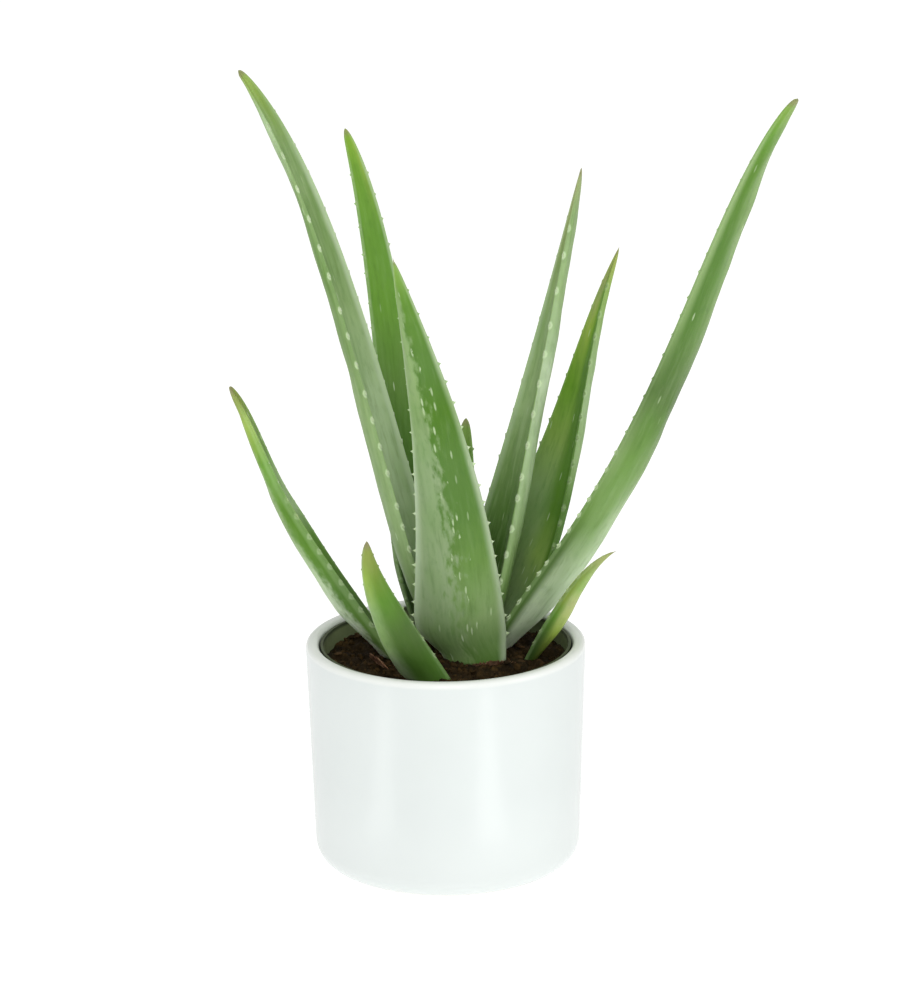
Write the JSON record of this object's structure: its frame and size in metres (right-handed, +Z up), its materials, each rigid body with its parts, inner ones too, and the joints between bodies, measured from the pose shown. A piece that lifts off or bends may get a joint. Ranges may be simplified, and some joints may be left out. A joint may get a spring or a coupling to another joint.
{
  "type": "potted aloe plant",
  "caption": "Potted aloe with long tapering fleshy leaves, toothed along both margins, rising from soil in a round white glazed pot with a rounded foot.",
  "frame": {"origin": "centre of the pot's flat foot, on the surface the pot stands on", "axes": "+Z up along the pot's axis; +X towards the long arching leaf; -Y towards the broad front leaf"},
  "size_m": [0.2639, 0.1609, 0.3909],
  "materials": {
    "white_glaze": "gloss",
    "dark_plastic": "matte",
    "potting_soil": "matte",
    "stem_tissue": "matte",
    "leaf_skin": "satin",
    "dry_leaf": "matte"
  },
  "bodies": {
    "root": {"pot": "white_glaze", "grow_pot": "dark_plastic", "soil": "potting_soil", "stem": "stem_tissue", "leaf_front_broad": "leaf_skin", "leaf_left_tall": "leaf_skin", "leaf_back_left": "leaf_skin", "leaf_middle": "leaf_skin", "leaf_right_tall": "leaf_skin", "leaf_back_right": "leaf_skin", "leaf_right_arching": "leaf_skin", "leaf_right_short": "leaf_skin", "leaf_left_low": "leaf_skin", "leaf_front_short": "leaf_skin", "dry_scale_left": "dry_leaf", "dry_scale_front": "dry_leaf"}
  },
  "joints": []
}
